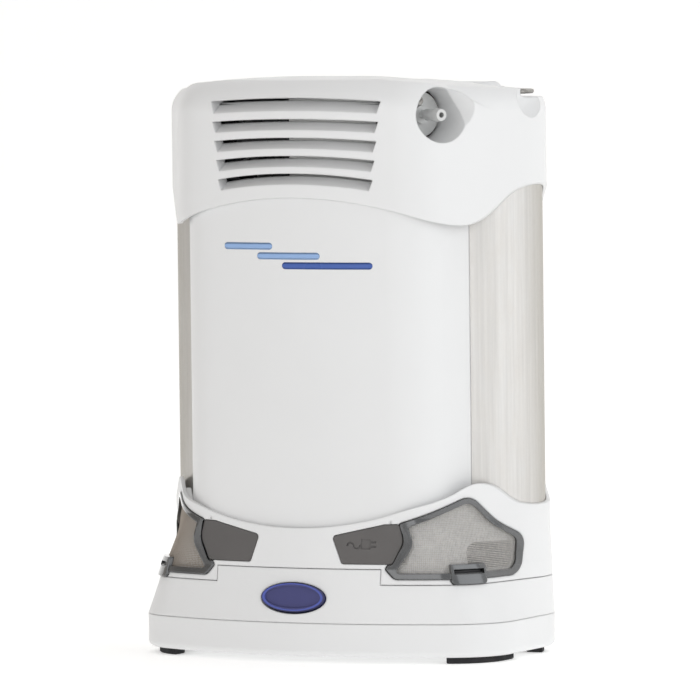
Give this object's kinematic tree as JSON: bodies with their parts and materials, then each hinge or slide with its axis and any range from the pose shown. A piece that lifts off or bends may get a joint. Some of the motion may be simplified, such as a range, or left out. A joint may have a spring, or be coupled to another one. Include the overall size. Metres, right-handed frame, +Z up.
{
  "type": "oxygen concentrator",
  "caption": "Portable oxygen concentrator with two exposed sieve columns, louvred cap, recessed hose outlet, clip-in filters, port doors and a battery base with an oval release button.",
  "frame": {"origin": "centre of the footprint on the floor, under the feet", "axes": "+X to the right seen from the front, +Y towards the back, +Z up; the front faces -Y"},
  "size_m": [0.1848, 0.112, 0.2659],
  "materials": {
    "housing_white": "gloss",
    "baffle_white": "matte",
    "foot_rubber": "matte",
    "tube_aluminium": "satin",
    "smoke_plastic": "gloss",
    "mesh_fabric": "matte",
    "door_plastic": "satin",
    "button_blue": "satin",
    "outlet_zinc": "satin",
    "bright_steel": "satin",
    "panel_grey": "satin",
    "key_grey": "matte",
    "key_blue": "matte",
    "lamp_plastic": "gloss",
    "display_glass": "gloss",
    "black_plastic": "satin",
    "board_green": "satin",
    "contact_gold": "satin",
    "cell_wrap": "satin",
    "cast_aluminium": "satin",
    "motor_steel": "satin",
    "media_beige": "matte",
    "ring_rubber": "matte",
    "hose_silicone": "satin",
    "tank_plastic": "satin"
  },
  "bodies": {
    "housing": {"air_baffle": "baffle_white", "air_hoses": "hose_silicone", "alarm_buzzer": "black_plastic", "battery_board": "board_green", "battery_case_lower": "housing_white", "battery_case_upper": "housing_white", "battery_cells": "cell_wrap", "battery_contacts": "contact_gold", "battery_screws": "bright_steel", "button_spring": "bright_steel", "chassis_bracket": "motor_steel", "compressor_cylinder": "cast_aluminium", "compressor_head": "cast_aluminium", "compressor_motor": "motor_steel", "compressor_mounts": "foot_rubber", "compressor_piston": "cast_aluminium", "control_board": "board_green", "control_panel": "panel_grey", "crankcase": "cast_aluminium", "display_window": "display_glass", "fan_frame": "black_plastic", "feet": "foot_rubber", "front_panel": "housing_white", "indicator_lenses": "lamp_plastic", "intake_muffler": "black_plastic", "left_sieve_tube": "tube_aluminium", "lower_housing": "housing_white", "outlet_barb": "outlet_zinc", "outlet_disc": "outlet_zinc", "outlet_screw": "bright_steel", "power_jack": "black_plastic", "product_tank": "tank_plastic", "rear_panel": "housing_white", "rear_screws": "bright_steel", "right_sieve_tube": "tube_aluminium", "service_port": "black_plastic", "sieve_caps_lower": "cast_aluminium", "sieve_caps_upper": "cast_aluminium", "sieve_media": "media_beige", "sieve_o_rings": "ring_rubber", "solenoid_valves": "black_plastic", "top_cap": "housing_white", "valve_manifold": "cast_aluminium"},
    "release": {"release_button": "button_blue", "latch_bar": "black_plastic"},
    "right_door": {"right_port_door": "door_plastic"},
    "left_door": {"left_port_door": "door_plastic"},
    "right_filter": {"right_filter_frame": "smoke_plastic", "right_filter_mesh": "mesh_fabric"},
    "left_filter": {"left_filter_frame": "smoke_plastic", "left_filter_mesh": "mesh_fabric"},
    "right_ring": {"right_strap_ring": "bright_steel"},
    "left_ring": {"left_strap_ring": "bright_steel"},
    "power_key": {"power_button": "key_blue"},
    "flow_up_key": {"flow_up_button": "key_grey"},
    "flow_down_key": {"flow_down_button": "key_grey"},
    "gauge_key": {"gauge_button": "key_grey"},
    "fan_wheel": {"fan_rotor": "black_plastic"},
    "crank": {"motor_rotor": "motor_steel"}
  },
  "joints": [
    {"name": "release_press", "type": "slide", "parent": "housing", "child": "release", "axis": [0, 1, 0], "range_m": [0, 0.0025], "stiffness_N_per_m": 1200, "springref_m": -0.001, "deforming": ["button_spring"]},
    {"name": "right_door_swing", "type": "hinge", "parent": "housing", "child": "right_door", "pos_m": [0.0456, -0.0452, 0.0545], "axis": [0, 0, 1], "range_deg": [0, 75]},
    {"name": "left_door_swing", "type": "hinge", "parent": "housing", "child": "left_door", "pos_m": [-0.0456, -0.0452, 0.0545], "axis": [0, 0, -1], "range_deg": [0, 75]},
    {"name": "right_filter_pull", "type": "slide", "parent": "housing", "child": "right_filter", "axis": [0.766, -0.6428, 0], "range_m": [0, 0.025]},
    {"name": "left_filter_pull", "type": "slide", "parent": "housing", "child": "left_filter", "axis": [-0.766, -0.6428, 0], "range_m": [0, 0.025]},
    {"name": "right_ring_swing", "type": "hinge", "parent": "housing", "child": "right_ring", "pos_m": [0.0705, 0.021, 0.2581], "axis": [0, -1, 0], "range_deg": [0, 100]},
    {"name": "left_ring_swing", "type": "hinge", "parent": "housing", "child": "left_ring", "pos_m": [-0.0705, 0.021, 0.2581], "axis": [0, 1, 0], "range_deg": [0, 100]},
    {"name": "power_press", "type": "slide", "parent": "housing", "child": "power_key", "axis": [0, 0, -1], "range_m": [0, 0.0005], "stiffness_N_per_m": 800},
    {"name": "flow_up_press", "type": "slide", "parent": "housing", "child": "flow_up_key", "axis": [0, 0, -1], "range_m": [0, 0.0005], "stiffness_N_per_m": 800},
    {"name": "flow_down_press", "type": "slide", "parent": "housing", "child": "flow_down_key", "axis": [0, 0, -1], "range_m": [0, 0.0005], "stiffness_N_per_m": 800},
    {"name": "gauge_press", "type": "slide", "parent": "housing", "child": "gauge_key", "axis": [0, 0, -1], "range_m": [0, 0.0005], "stiffness_N_per_m": 800},
    {"name": "fan_spin", "type": "hinge", "parent": "housing", "child": "fan_wheel", "pos_m": [-0.026, -0.033, 0.2354], "axis": [0, 1, 0], "continuous": true},
    {"name": "crank_spin", "type": "hinge", "parent": "housing", "child": "crank", "pos_m": [0, 0.012, 0.088], "axis": [0, 1, 0], "continuous": true}
  ]
}
